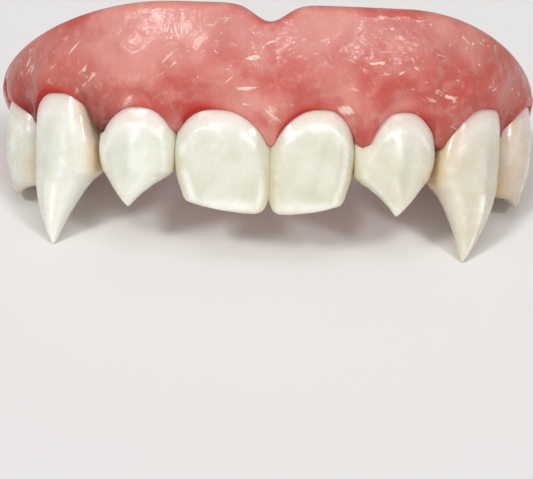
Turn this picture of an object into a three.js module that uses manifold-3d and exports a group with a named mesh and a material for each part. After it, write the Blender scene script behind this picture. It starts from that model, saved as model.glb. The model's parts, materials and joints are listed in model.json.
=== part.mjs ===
// An upper vampire fang denture: a horseshoe base of pink acrylic, hollow along its top where it sits on
// the wearer's ridge, and eight ivory acrylic teeth set in sockets along its lower edge.
//
// Lengths are millimetres. The denture is built level first: +X is the viewer's right, +Y runs back into
// the mouth, +Z is up and z = 0 is the biting plane of the two middle incisors. It is then leaned back
// until it stands on a table by itself, on its two fang tips and the two heels of the base. Left and
// right are the viewer's.
import * as THREE from "three";
import { mergeVertices } from "three/addons/utils/BufferGeometryUtils.js";
import Module from "manifold-3d";

// Arch: the face of the teeth seen from below, half of a superellipse with straight heels behind it.
const archHalfWidth = 26.2;
const archDepth = 24;
const archSquareness = 2.6;
const midlineShift = 0.4; // the gap between the middle incisors stands this far right of the centre
const heelLength = 9; // base behind the last tooth

// Base: heights above the biting plane, walls and the trough for the wearer's ridge.
const flangeTop = 19.2;
const flangeFall = 7.5; // how much lower the flange is at the heels
const leftFallStart = 9; // measured along the arch from the middle
const rightFallStart = 13;
const flangeFallEnd = 42;
const lipNotchDepth = 1.6;
const lipNotchHalfWidth = 2;
const flangeWall = 2;
const palateWall = 1.8;
const troughWidth = 7.2;
const troughFloor = 12;
const palateShare = 0.45; // share of the trough's depth that the inner wall stands up
const troughCorner = 0.7; // chamfer between the trough's floor and walls
const heelStepStart = 0.6; // the trough's floor steps down over this stretch behind the last tooth
const heelStepEnd = 3.6;
const marginSettle = 1.2; // length over which the gum edge settles to the heel's underside
const palateCover = 0.9; // acrylic behind the teeth at the lower edge
const closedDepth = 0.1; // what is left of the trough where a heel closes it
const heelTroughFloor = 9;
const heelUnderside = 5;
const heelRise = 0.1; // share of a heel's side face below where it starts to swell out to the rim
const heelRounding = 3.4; // length over which each heel rounds off
const heelEndWall = 2.2; // solid end behind the trough
const palateMargin = 5.4; // lower edge of the base behind the teeth
const palateScallop = 0.9; // how much higher that edge is behind the middle of a tooth
const frontBulgeDepth = 0.7; // swell of the flange over its straight line in front
const sideBulgeDepth = 0.3; // and at the sides
const frontLead = 0.5; // the flange's rim stands this far outside the arch line in front
const sideLead = 0.1; // and this far at the sides
const leadChangeStart = 14;
const leadChangeEnd = 30;
const rootSwell = 0.3; // half of the wave over the roots
const marginLip = 0.45; // gum edge outside the face of a tooth
const papillaInset = 1; // gum point inside the arch line between two teeth
const scallopSharpness = 2.3;
const pointHang = 0.6; // how far a gum point hangs below the feet of the arches beside it
const edgeEvening = 1.2; // stretch each way along the arch over which the flange evens out its lower edge
const heelInset = 2.2; // lower edge of the heels inside the arch line

// Teeth. The tables of teeth and gum below give widths, gum heights and tips as shares of the first
// three.
const toothWidth = 8;
const neckHeight = 10;
const fangDrop = 4; // how far a full fang reaches below the biting plane
const rootTop = 11;
const contactInset = 2.2; // depth behind the arch line where neighbours meet
const contactGap = 0.24;
const contactHeight = 3.2; // a slanted contact crosses its place in the arch at this height
const socketGap = 0.25;
const sideShare = 0.4; // how far back in its thickness a tooth is widest

// Crown sections. at runs from -1, the end of the root, through 0, the gum edge, to 1, the tip. mesial,
// towards the middle of the mouth, and distal are shares of the half width. front, outside the arch line,
// and back, inside it, are shares of the thickness.
const centralSections = [
  { at: -1, mesial: 0.66, distal: 0.66, front: -0.16, back: 0.84 },
  { at: 0, mesial: 0.9, distal: 0.9, front: -0.05, back: 0.97 },
  { at: 0.18, mesial: 1.02, distal: 1, front: 0.02, back: 1 },
  { at: 0.4, mesial: 1.1, distal: 1.06, front: 0.05, back: 0.86 },
  { at: 0.62, mesial: 1.12, distal: 1.03, front: 0.03, back: 0.6 },
  { at: 0.78, mesial: 1.1, distal: 0.92, front: -0.01, back: 0.43 },
  { at: 0.89, mesial: 1.02, distal: 0.78, front: -0.045, back: 0.33 },
  { at: 0.935, mesial: 0.97, distal: 0.48, front: -0.06, back: 0.3 },
  { at: 0.97, mesial: 0.91, distal: 0.1, front: -0.075, back: 0.27 },
  { at: 1, mesial: 0.82, distal: -0.42, front: -0.1, back: 0.23 },
];
const lateralSections = [
  { at: -1, mesial: 0.64, distal: 0.7, front: -0.18, back: 0.84 },
  { at: 0, mesial: 0.88, distal: 1, front: -0.05, back: 0.96 },
  { at: 0.2, mesial: 1.02, distal: 1.2, front: 0.02, back: 1 },
  { at: 0.42, mesial: 1.08, distal: 1.25, front: 0.05, back: 0.86 },
  { at: 0.62, mesial: 1.02, distal: 1.1, front: 0.04, back: 0.64 },
  { at: 0.68, mesial: 0.83, distal: 0.97, front: 0.02, back: 0.56 },
  { at: 0.745, mesial: 0.54, distal: 0.83, front: 0, back: 0.49 },
  { at: 0.833, mesial: 0.23, distal: 0.65, front: -0.03, back: 0.4 },
  { at: 0.93, mesial: -0.04, distal: 0.41, front: -0.07, back: 0.29 },
  { at: 1, mesial: -0.18, distal: 0.21, front: -0.12, back: 0.17 },
];
const fangSections = [
  { at: -1, mesial: 0.66, distal: 0.86, front: -0.11, back: 0.86 },
  { at: 0, mesial: 0.8, distal: 1.12, front: 0.02, back: 0.96 },
  { at: 0.15, mesial: 0.92, distal: 1.15, front: 0.06, back: 1 },
  { at: 0.33, mesial: 0.98, distal: 1.13, front: 0.07, back: 0.88 },
  { at: 0.5, mesial: 0.86, distal: 1.05, front: 0.06, back: 0.66 },
  { at: 0.565, mesial: 0.63, distal: 0.97, front: 0.05, back: 0.56 },
  { at: 0.63, mesial: 0.47, distal: 0.88, front: 0.04, back: 0.49 },
  { at: 0.7, mesial: 0.35, distal: 0.77, front: 0.025, back: 0.42 },
  { at: 0.78, mesial: 0.23, distal: 0.61, front: 0.005, back: 0.34 },
  { at: 0.87, mesial: 0.11, distal: 0.4, front: -0.025, back: 0.26 },
  { at: 0.936, mesial: 0.05, distal: 0.23, front: -0.05, back: 0.2 },
  { at: 1, mesial: 0, distal: 0.03, front: -0.085, back: 0.12 },
];
const premolarSections = [
  { at: -1, mesial: 0.64, distal: 0.64, front: -0.1, back: 0.84 },
  { at: 0, mesial: 0.9, distal: 0.9, front: 0.01, back: 0.96 },
  { at: 0.2, mesial: 1.02, distal: 0.98, front: 0.05, back: 1 },
  { at: 0.42, mesial: 1.08, distal: 1, front: 0.065, back: 0.98 },
  { at: 0.62, mesial: 1.06, distal: 1, front: 0.045, back: 0.94 },
  { at: 0.78, mesial: 1.02, distal: 0.94, front: 0.005, back: 0.9 },
  { at: 0.86, mesial: 0.96, distal: 0.88, front: -0.02, back: 0.84 },
  { at: 0.885, mesial: 0.84, distal: 0.78, front: -0.03, back: 0.7 },
  { at: 0.905, mesial: 0.6, distal: 0.66, front: -0.035, back: 0.24 },
  { at: 0.95, mesial: 0.3, distal: 0.4, front: -0.05, back: 0.15 },
  { at: 1, mesial: 0.02, distal: 0.08, front: -0.07, back: 0.1 },
];

// Each kind of tooth: its sections, its thickness front to back, and how square its front is (2 is an
// ellipse).
const central = { sections: centralSections, thickness: 6.4, squareness: 2.8 };
const lateral = { sections: lateralSections, thickness: 6.2, squareness: 3 };
const fang = { sections: fangSections, thickness: 7.8, squareness: 2.6 };
const premolar = { sections: premolarSections, thickness: 8.2, squareness: 2.3 };

// The teeth from the middle outwards. wide is a share of toothWidth and tip a share of fangDrop. lean
// moves the tip away from the middle by a share of the half width, out sets the tooth off the arch line
// by a share of its thickness, and slant is how far its far contact moves outwards with each unit of
// height.
const leftTeeth = [
  { name: "central_incisor", kind: central, wide: 1.1, tip: 0, lean: 0, out: 0, slant: 0 },
  { name: "lateral_incisor", kind: lateral, wide: 0.925, tip: 0.05, lean: 0.05, out: 0, slant: 0.34 },
  { name: "fang", kind: fang, wide: 1.13, tip: -0.9125, lean: 0.26, out: 0, slant: 0 },
  { name: "premolar", kind: premolar, wide: 0.935, tip: 0.175, lean: 0, out: 0, slant: 0 },
];
const rightTeeth = [
  { name: "central_incisor", kind: central, wide: 0.975, tip: 0, lean: 0, out: 0, slant: 0 },
  { name: "lateral_incisor", kind: lateral, wide: 0.975, tip: 0.025, lean: -0.05, out: 0, slant: 0.34 },
  { name: "fang", kind: fang, wide: 1.18, tip: -1, lean: -0.14, out: 0, slant: 0 },
  { name: "premolar", kind: premolar, wide: 0.93, tip: 0.25, lean: 0, out: 0.043, slant: 0 },
];

// The gum over each of those teeth. neck, the height of the gum's edge over it, and gum, that of the gum
// point on its far side, are shares of neckHeight. crown is how far the top of the gum's arch stands from
// the tooth's middle, as a share of the half width, and point how far past the contact the gum point
// stands, as a share of toothWidth. Both count away from the middle of the mouth. reach is the share of
// the way from the arch's top to a gum point over which the edge falls.
const middleGum = 0.6;
const leftGum = [
  { neck: 0.93, crown: 0.16, gum: 0.71, point: 0.01, reach: 0.88 },
  { neck: 0.93, crown: 0, gum: 0.67, point: 0, reach: 0.88 },
  { neck: 1.04, crown: 0.06, gum: 0.73, point: 0, reach: 1 },
  { neck: 0.96, crown: 0.52, gum: 0.95, point: 0, reach: 0.94 },
];
const rightGum = [
  { neck: 0.96, crown: 0.23, gum: 0.62, point: 0.09, reach: 0.88 },
  { neck: 0.965, crown: 0.2, gum: 0.63, point: 0.15, reach: 0.84 },
  { neck: 1.03, crown: 0.33, gum: 0.755, point: 0.035, reach: 0.97 },
  { neck: 1.07, crown: 0.16, gum: 1.04, point: 0, reach: 0.98 },
];

// Fineness of the faceted surfaces.
const pointsRoundTooth = 16;
const stationsPerTooth = 8;
const stationsPerHeel = 5;

const gumMaterial = new THREE.MeshStandardMaterial({ color: 0xcf6f66, roughness: 0.3, metalness: 0 });
const toothMaterial = new THREE.MeshStandardMaterial({ color: 0xe9e6d6, roughness: 0.25, metalness: 0 });

const signedPower = (value, power) => Math.sign(value) * Math.abs(value) ** power;
const smoothStep = THREE.MathUtils.smoothstep;
const mix = THREE.MathUtils.lerp;

// Arc length along one half of the superellipse, worked out once in small steps.
const archSteps = 1500;
const archTable = [{ along: 0, x: 0, y: 0 }];
for (let i = 1; i <= archSteps; i++) {
  const turn = (i / archSteps) * (Math.PI / 2);
  const x = archHalfWidth * Math.sin(turn) ** (2 / archSquareness);
  const y = archDepth * (1 - Math.max(Math.cos(turn), 0) ** (2 / archSquareness));
  const last = archTable[i - 1];
  archTable.push({ along: last.along + Math.hypot(x - last.x, y - last.y), x, y });
}
const archLength = archTable[archSteps].along;

// The point of the arch line at a distance along it from the centre, negative on the left.
function archPoint(along) {
  const side = Math.sign(along);
  const distance = Math.abs(along);
  if (distance >= archLength) {
    return new THREE.Vector2(side * archHalfWidth, archDepth + distance - archLength);
  }
  let low = 0;
  let high = archSteps;
  while (high - low > 1) {
    const middle = (low + high) >> 1;
    if (archTable[middle].along > distance) high = middle;
    else low = middle;
  }
  const a = archTable[low];
  const b = archTable[high];
  const share = (distance - a.along) / (b.along - a.along);
  return new THREE.Vector2(side * mix(a.x, b.x, share), mix(a.y, b.y, share));
}

function archTangent(along) {
  const reach = 0.2;
  return archPoint(along + reach).sub(archPoint(along - reach)).normalize();
}

// A point beside the arch line: outward is measured square to the line, away from the mouth.
function besideArch(along, outward, height) {
  const tangent = archTangent(along);
  const point = archPoint(along);
  return new THREE.Vector3(point.x + tangent.y * outward, point.y - tangent.x * outward, height);
}

// Places the teeth side by side along the arch, from the middle out, with the gum's arch over each.
function placedTeeth() {
  const placed = [];
  const halves = [
    { side: -1, teeth: leftTeeth, gums: leftGum },
    { side: 1, teeth: rightTeeth, gums: rightGum },
  ];
  for (const { side, teeth, gums } of halves) {
    let nearEnd = midlineShift;
    let nearSlant = 0;
    let nearGum = { along: midlineShift, height: middleGum * neckHeight };
    teeth.forEach((tooth, index) => {
      const gum = gums[index];
      const name = `${tooth.name}_${side < 0 ? "left" : "right"}`;
      const width = tooth.wide * toothWidth;
      const farEnd = nearEnd + side * width;
      const neck = gum.neck * neckHeight;
      const tip = tooth.tip * fangDrop;
      const out = tooth.out * tooth.kind.thickness;
      const archTop = (nearEnd + farEnd) / 2 + (side * gum.crown * width) / 2;
      const farGum = { along: farEnd + side * gum.point * toothWidth, height: gum.gum * neckHeight };
      const gumArch = { neck, archTop, nearGum, farGum, reach: gum.reach };
      placed.push({ ...tooth, ...gumArch, name, side, width, nearEnd, farEnd, nearSlant, tip, out });
      nearEnd = farEnd;
      nearSlant = tooth.slant;
      nearGum = farGum;
    });
  }
  return placed.sort((a, b) => a.nearEnd + a.farEnd - b.nearEnd - b.farEnd);
}
const row = placedTeeth();
const rowStart = row[0].farEnd;
const rowEnd = row[row.length - 1].farEnd;

// A closed solid through rings of equal length, with a fan of triangles over each end.
function loft(rings) {
  const count = rings[0].length;
  const points = rings.flat();
  const centreOf = (ring) => ring.reduce((sum, p) => sum.add(p), new THREE.Vector3()).divideScalar(count);
  points.push(centreOf(rings[0]), centreOf(rings[rings.length - 1]));
  const firstCentre = points.length - 2;
  const lastCentre = points.length - 1;
  const lastRing = (rings.length - 1) * count;
  const faces = [];
  for (let k = 0; k < count; k++) {
    const next = (k + 1) % count;
    for (let r = 0; r < rings.length - 1; r++) {
      const a = r * count + k;
      const b = r * count + next;
      faces.push(a, b, b + count, a, b + count, a + count);
    }
    faces.push(firstCentre, next, k, lastCentre, lastRing + k, lastRing + next);
  }
  const geometry = new THREE.BufferGeometry().setFromPoints(points);
  geometry.setIndex(faces);
  return geometry;
}

// The two planes across the arch that a tooth keeps between, clear of its neighbours. facing points out
// of the tooth, and the plane moves that way by lift with each unit of height above contactHeight.
function contactPlanes({ side, nearEnd, farEnd, nearSlant, slant }) {
  return [
    { along: nearEnd, direction: -side, lift: -nearSlant },
    { along: farEnd, direction: side, lift: slant },
  ].map(({ along, direction, lift }) => {
    const tangent = archTangent(along).multiplyScalar(direction);
    return { facing: new THREE.Vector3(tangent.x, tangent.y, 0), start: besideArch(along, 0, 0), lift };
  });
}

// The frame of a tooth: halfway between its contacts, with a direction towards the far one and one
// outwards. archFace is how far outwards the arch line stands.
function toothFrame({ side, nearEnd, farEnd, out }) {
  const near = besideArch(nearEnd, -contactInset, 0);
  const far = besideArch(farEnd, -contactInset, 0);
  const centre = near.clone().add(far).divideScalar(2);
  const towardsFar = far.clone().sub(near).normalize();
  const outward = new THREE.Vector3(towardsFar.y, -towardsFar.x, 0).multiplyScalar(side);
  const archFace = besideArch((nearEnd + farEnd) / 2, out, 0).sub(centre).dot(outward);
  return { centre, towardsFar, outward, archFace, halfWidth: near.distanceTo(far) / 2 };
}

// How far a tooth reaches at one of its sections, or at a mixture of two, from the middle of its frame.
function toothReach({ kind, lean }, { archFace, halfWidth }, section) {
  const leaning = lean * Math.max(0, section.at * 2 - 1);
  const front = archFace + section.front * kind.thickness;
  const back = archFace - section.back * kind.thickness;
  return {
    left: halfWidth * (section.distal + leaning),
    right: halfWidth * (section.mesial - leaning),
    front,
    back,
    widest: mix(front, back, sideShare),
  };
}

// One tooth as rings from its root to its tip. grow fattens it all over, for the socket that it sits in.
function toothGeometry(tooth, grow) {
  const { kind, side, neck, tip } = tooth;
  const frame = toothFrame(tooth);
  const planes = contactPlanes(tooth);
  return loft(
    kind.sections.map((section, index) => {
      const rootEnd = index === 0;
      const height = section.at < 0 ? mix(neck, rootTop, -section.at) : mix(neck, tip, section.at);
      const reach = toothReach(tooth, frame, section);
      const left = reach.left + grow;
      const right = reach.right + grow;
      const ahead = reach.front - reach.widest + grow;
      const behind = reach.widest - reach.back + grow;
      return Array.from({ length: pointsRoundTooth }, (_, k) => {
        const turn = (side * k * 2 * Math.PI) / pointsRoundTooth;
        const square = Math.sin(turn) > 0 ? kind.squareness : 2;
        const across = signedPower(Math.cos(turn), 2 / square);
        const deep = signedPower(Math.sin(turn), 2 / square);
        const alongFar = (left - right) / 2 + (across * (left + right)) / 2;
        const out = reach.widest + deep * (deep > 0 ? ahead : behind);
        const point = frame.centre.clone();
        point.addScaledVector(frame.towardsFar, alongFar).addScaledVector(frame.outward, out);
        for (const { facing, start, lift } of planes) {
          const room = lift * (height - contactHeight) - contactGap / 2 + grow;
          const beyond = point.clone().sub(start).dot(facing) - room;
          point.addScaledVector(facing, -Math.max(0, beyond));
        }
        return point.setZ(height + (rootEnd ? grow : 0));
      });
    }),
  );
}

// The tooth whose contacts a place along the arch lies between, at a height.
function toothAt(along, height) {
  const above = height - contactHeight;
  return row.find(({ side, nearEnd, farEnd, nearSlant, slant }) => {
    const near = nearEnd + side * nearSlant * above;
    const far = farEnd + side * slant * above;
    return (along - near) * (along - far) <= 0;
  });
}

// How far a tooth's face stands outside the arch line, at a place along the arch and a height.
function toothFace(tooth, along, height) {
  const { kind, neck, tip } = tooth;
  const frame = toothFrame(tooth);
  const at = height < neck ? (neck - height) / (neck - tip) : -(height - neck) / (rootTop - neck);
  const next = kind.sections.findIndex((section) => section.at >= at);
  const [a, b] = [kind.sections[Math.max(next - 1, 0)], kind.sections[Math.max(next, 0)]];
  const share = a === b ? 0 : (at - a.at) / (b.at - a.at);
  const section = {};
  for (const column of Object.keys(a)) {
    section[column] = mix(a[column], b[column], share);
  }
  const { left, right, front, widest } = toothReach(tooth, frame, section);
  const place = besideArch(along, 0, 0).sub(frame.centre);
  const across = (place.dot(frame.towardsFar) - (left - right) / 2) / ((left + right) / 2);
  const deep = Math.max(0, 1 - Math.abs(across) ** kind.squareness) ** (1 / kind.squareness);
  return mix(widest, front, deep) - place.dot(frame.outward);
}

// The gum's edge over the teeth: an arch over each tooth between two gum points, and level under the
// heels. over is 1 at the top of an arch and 0 at a gum point and behind the teeth.
function gumEdge(along) {
  const tooth = row.find(({ nearGum, farGum }) => (along - nearGum.along) * (along - farGum.along) <= 0);
  if (!tooth) {
    const last = along < 0 ? row[0] : row[row.length - 1];
    const settled = smoothStep(Math.abs(along - last.farEnd), 0, marginSettle);
    const height = mix(last.farGum.height, heelUnderside, settled);
    return { height, out: mix(-papillaInset, -heelInset, settled), over: 0 };
  }
  const { archTop, side } = tooth;
  const gumPoint = (along - archTop) * side > 0 ? tooth.farGum : tooth.nearGum;
  const fall = (along - archTop) / (gumPoint.along - archTop);
  const over = Math.max(0, 1 - (fall / tooth.reach) ** scallopSharpness);
  const height = mix(gumPoint.height + pointHang * (1 - fall ** 4), tooth.neck, over);
  const nearest = toothAt(along, height);
  const face = nearest ? toothFace(nearest, along, height) : -Infinity;
  return { height, out: Math.max(face + marginLip, -papillaInset), over };
}

// How far out the gum's edge stands on average round a place along the arch.
function evenedOut(along) {
  const places = [-1, -0.5, 0, 0.5, 1].map((share) => gumEdge(along + share * edgeEvening).out);
  return places.reduce((sum, out) => sum + out, 0) / places.length;
}

// How thick the row of teeth is at a place along the arch, for the base's inner side.
function rowThickness(along) {
  const distance = Math.abs(along);
  const frontEnd = row[0].width;
  const backEnd = Math.min(-rowStart, rowEnd);
  return mix(central.thickness, premolar.thickness, smoothStep(distance, frontEnd, backEnd));
}

// The base's section at a place along the arch, as {out, up} points round it.
function baseSection(along) {
  const distance = Math.abs(along);
  const limit = (along < 0 ? -rowStart : rowEnd) + heelLength;
  const behindRow = distance - (limit - heelLength);
  const edge = gumEdge(along);
  const notch = lipNotchDepth * Math.exp(-((along / lipNotchHalfWidth) ** 2));
  const fallStart = along < 0 ? leftFallStart : rightFallStart;
  const top = flangeTop - notch - flangeFall * smoothStep(distance, fallStart, flangeFallEnd);
  const sideways = smoothStep(distance, leadChangeStart, leadChangeEnd);
  const flangeLead = mix(frontLead, sideLead, sideways);
  const flangeBulge = mix(frontBulgeDepth, sideBulgeDepth, sideways);
  const closing = smoothStep(distance, limit - heelRounding - heelEndWall, limit - heelEndWall);
  const openFloor = mix(troughFloor, heelTroughFloor, smoothStep(behindRow, heelStepStart, heelStepEnd));
  const crest = top - flangeWall / 2;
  const floor = mix(openFloor, crest - closedDepth, closing);
  const innerTop = floor + (top - floor) * palateShare;
  const innerCrest = innerTop - Math.min(palateWall, innerTop - floor) / 2;
  const wave = rootSwell * (2 * edge.over - 1) * (behindRow > 0 ? 0 : 1);
  const behind = smoothStep(behindRow, 0, marginSettle);
  const evened = evenedOut(along);
  const foot = (share) => mix(edge.out, evened, smoothStep(share, 0, 0.25));
  const outer = (share) =>
    mix(foot(share), flangeLead, smoothStep(share, mix(0, heelRise, behind), mix(0.7, 1, behind))) +
    flangeBulge * Math.sin(Math.PI * share) +
    wave * Math.sin(Math.PI * share) * (1 - share);
  const face = (share) => ({ out: outer(share), up: mix(edge.height, crest, share) });
  const troughFront = flangeLead - flangeWall;
  const troughBack = troughFront - troughWidth;
  const innerFace = troughBack - palateWall;
  const corner = Math.min(troughCorner, (crest - floor) / 2);
  const rim = (middle, half, base, rise, turn) => ({
    out: middle + half * Math.cos(turn),
    up: base + rise * Math.sin(turn),
  });
  const frontRim = flangeLead - flangeWall / 2;
  const backRim = troughBack - palateWall / 2;
  const marginOut = -(rowThickness(along) + palateCover);
  const lowest = mix(palateMargin + palateScallop * edge.over, heelUnderside, behind);
  const outline = [
    face(0),
    face(0.1),
    face(0.28),
    face(0.5),
    face(0.75),
    rim(frontRim, flangeWall / 2, crest, top - crest, 0),
    rim(frontRim, flangeWall / 2, crest, top - crest, Math.PI * 0.27),
    rim(frontRim, flangeWall / 2, crest, top - crest, Math.PI * 0.5),
    rim(frontRim, flangeWall / 2, crest, top - crest, Math.PI * 0.75),
    { out: troughFront, up: crest },
    { out: troughFront, up: floor + corner },
    { out: troughFront - corner, up: floor },
    { out: troughBack + corner, up: floor },
    { out: troughBack, up: Math.min(floor + corner, innerCrest) },
    rim(backRim, palateWall / 2, innerCrest, innerTop - innerCrest, Math.PI * 0.25),
    rim(backRim, palateWall / 2, innerCrest, innerTop - innerCrest, Math.PI * 0.5),
    rim(backRim, palateWall / 2, innerCrest, innerTop - innerCrest, Math.PI * 0.75),
    { out: innerFace, up: mix(lowest, innerCrest, 0.97) },
    { out: innerFace, up: mix(lowest, innerCrest, 0.6) },
    { out: mix(innerFace, marginOut, 0.45), up: mix(lowest, innerCrest, 0.25) },
    { out: marginOut, up: lowest },
    { out: mix(marginOut, edge.out, 0.5), up: mix(lowest, edge.height, 0.4) },
  ];
  // Each heel ends in a quarter round: its section shrinks about its own middle.
  const rounding = Math.max(0, (distance - (limit - heelRounding)) / heelRounding);
  const shrink = Math.sqrt(Math.max(0, 1 - rounding ** 2));
  const middle = { out: (flangeLead + innerFace) / 2, up: (heelUnderside + top) / 2 };
  return outline.map(({ out, up }) => ({
    out: mix(middle.out, out, shrink),
    up: mix(middle.up, up, shrink),
  }));
}

// Places along the arch, from right to left, where the base gets a section: even over each tooth, and
// closer as each heel rounds off.
function baseStations() {
  const stations = row.flatMap((tooth) => {
    const start = Math.min(tooth.nearEnd, tooth.farEnd);
    return Array.from({ length: stationsPerTooth }, (_, i) => start + (tooth.width * i) / stationsPerTooth);
  });
  stations.push(rowEnd);
  const straight = heelLength - heelRounding;
  for (let i = 1; i <= stationsPerHeel; i++) {
    const along = (straight * i) / stationsPerHeel;
    const round = straight + heelRounding * Math.sin((i / (stationsPerHeel + 0.35)) * (Math.PI / 2));
    stations.push(rowEnd + along, rowEnd + round, rowStart - along, rowStart - round);
  }
  return stations.sort((a, b) => b - a);
}

function baseGeometry() {
  const rings = baseStations().map((along) =>
    baseSection(along).map(({ out, up }) => besideArch(along, out, up)),
  );
  return loft(rings);
}

const manifold = await Module();
manifold.setup();

function toSolid(geometry) {
  const merged = mergeVertices(geometry, 1e-4);
  return new manifold.Manifold(
    new manifold.Mesh({
      numProp: 3,
      vertProperties: new Float32Array(merged.attributes.position.array),
      triVerts: new Uint32Array(merged.index.array),
    }),
  );
}

function toGeometry(solid) {
  const mesh = solid.getMesh();
  const geometry = new THREE.BufferGeometry();
  geometry.setAttribute("position", new THREE.BufferAttribute(mesh.vertProperties, 3));
  geometry.setIndex(new THREE.BufferAttribute(mesh.triVerts, 1));
  return geometry;
}

// The base with a socket for each tooth, less any sliver that two neighbouring sockets cut loose between
// them.
function gumBase() {
  let solid = toSolid(baseGeometry());
  for (const tooth of row) {
    solid = solid.subtract(toSolid(toothGeometry(tooth, socketGap)));
  }
  const parts = solid.decompose().sort((a, b) => b.volume() - a.volume());
  return new THREE.Mesh(toGeometry(parts[0]), gumMaterial);
}

const level = new THREE.Group();
const base = gumBase();
base.name = "gum_base";
level.add(base);
for (const tooth of row) {
  const mesh = new THREE.Mesh(toothGeometry(tooth, 0), toothMaterial);
  mesh.name = tooth.name;
  level.add(mesh);
}

// Set down on a table, the denture leans back about its two fang tips until its heels touch.
function lowestPoint(mesh) {
  const points = mesh.geometry.attributes.position;
  let lowest = new THREE.Vector3(0, 0, Infinity);
  for (let i = 0; i < points.count; i++) {
    const point = new THREE.Vector3().fromBufferAttribute(points, i);
    if (point.z < lowest.z) lowest = point;
  }
  return lowest;
}

function leanBack() {
  const tips = ["fang_left", "fang_right"].map((name) => lowestPoint(level.getObjectByName(name)));
  const tip = tips[0].clone().add(tips[1]).divideScalar(2);
  const points = base.geometry.attributes.position;
  let angle = Math.PI / 2;
  for (let i = 0; i < points.count; i++) {
    const behind = points.getY(i) - tip.y;
    if (behind > 0) angle = Math.min(angle, Math.atan2(points.getZ(i) - tip.z, behind));
  }
  return angle;
}

const denture = new THREE.Group();
denture.add(level);
level.rotation.x = -leanBack();
denture.updateMatrixWorld(true);
const box = new THREE.Box3().setFromObject(denture, true);
const middle = box.getCenter(new THREE.Vector3());
level.position.set(-middle.x, -middle.y, -box.min.z);

export default denture;
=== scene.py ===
import json
import math

import bpy
import mathutils
import numpy as np
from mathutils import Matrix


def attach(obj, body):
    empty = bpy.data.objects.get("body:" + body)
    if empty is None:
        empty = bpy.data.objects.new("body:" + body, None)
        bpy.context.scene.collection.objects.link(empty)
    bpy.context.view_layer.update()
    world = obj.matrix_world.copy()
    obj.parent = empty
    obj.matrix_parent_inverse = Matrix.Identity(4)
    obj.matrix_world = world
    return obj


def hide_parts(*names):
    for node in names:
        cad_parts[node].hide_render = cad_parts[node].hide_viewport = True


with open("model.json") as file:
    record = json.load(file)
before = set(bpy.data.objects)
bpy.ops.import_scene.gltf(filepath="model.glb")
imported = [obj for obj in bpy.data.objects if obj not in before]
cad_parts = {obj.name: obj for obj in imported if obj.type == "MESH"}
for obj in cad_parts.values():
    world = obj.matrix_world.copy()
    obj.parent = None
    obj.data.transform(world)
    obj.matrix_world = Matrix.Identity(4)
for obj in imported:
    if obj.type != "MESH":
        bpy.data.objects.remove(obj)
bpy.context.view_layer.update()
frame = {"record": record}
print("frame loaded")

# The denture is worked out level, in millimetres: x to the viewer's right, y back into the mouth, z up
# from the biting plane. The seat's flat face in the record says how far it leans back at rest and where
# it stands.
mm = 0.001
seat = frame["record"]["mounts"][0]
lean = math.atan2(seat["axis"][1], seat["axis"][2])

seatPoint = (0.0, 5.1, 12.0)


def turned(points):  # leaned back about the x axis, by the plane rotation of y and z
    x, y, z = points[..., 0], points[..., 1], points[..., 2]
    back = y * math.cos(lean) + z * math.sin(lean)
    up = z * math.cos(lean) - y * math.sin(lean)
    return np.stack([x, back, up], axis=-1)


restShift = np.array(seat["pos_m"]) - turned(np.array(seatPoint)) * mm


def toRow(points):  # from the level denture in millimetres to where it stands in metres
    return turned(points) * mm + restShift


def mix(a, b, share):  # a straight blend from a to b
    return a + (b - a) * share


def smoothStep(x, low, high):  # 0 up to low, 1 from high, and between them the cubic 3t^2 - 2t^3
    t = np.clip((x - low) / (high - low), 0, 1)
    return t * t * (3 - 2 * t)


def signedPower(value, power):  # the power of the size, with the sign kept
    return np.sign(value) * np.abs(value) ** power


def bell(x, middle, half):  # 1 at the middle, falling to 1/e at half to either side
    return np.exp(-(((x - middle) / half) ** 2))


# A curve through a table's points that never overshoots them: cubics whose slope at each point is the
# harmonic mean of the slopes on its two sides.
def smoothThrough(xs, ys, x):
    xs, ys = np.asarray(xs, float), np.asarray(ys, float)
    step = np.diff(xs)
    slope = np.diff(ys) / step
    tangent = np.concatenate([[slope[0]], np.zeros(len(xs) - 2), [slope[-1]]])
    rising = slope[:-1] * slope[1:] > 0
    ahead = 2 * step[1:] + step[:-1]
    behind = step[1:] + 2 * step[:-1]
    safe = np.where(rising[:, None], np.stack([slope[:-1], slope[1:]], 1), 1)
    harmonic = (ahead + behind) / (ahead / safe[:, 0] + behind / safe[:, 1])
    tangent[1:-1] = np.where(rising, harmonic, 0)
    i = np.clip(np.searchsorted(xs, x) - 1, 0, len(xs) - 2)
    t = (x - xs[i]) / step[i]
    return (
        ys[i] * (2 * t**3 - 3 * t**2 + 1)
        + ys[i + 1] * (3 * t**2 - 2 * t**3)
        + step[i] * (tangent[i] * (t**3 - 2 * t**2 + t) + tangent[i + 1] * (t**3 - t**2))
    )


# Soft waves in space: the mean of several sine waves of one length that run in seeded directions.
def waves(points, wavelength, seed, count=9):
    draw = np.random.default_rng(seed)
    heading = draw.normal(size=(count, 3))
    heading /= np.linalg.norm(heading, axis=1, keepdims=True)
    phase = draw.uniform(0, 2 * math.pi, count)
    return np.sin(points @ heading.T * (2 * math.pi / wavelength) + phase).mean(axis=-1) * math.sqrt(count)


# A row of numbers blurred by a bell curve whose half width is spread steps.
def blurred(row, spread):
    reach = np.arange(-3 * spread, 3 * spread + 1)
    weight = bell(reach, 0, spread)
    padded = np.pad(row, 3 * spread, mode="edge")
    return np.convolve(padded, weight / weight.sum(), mode="valid")


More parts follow.
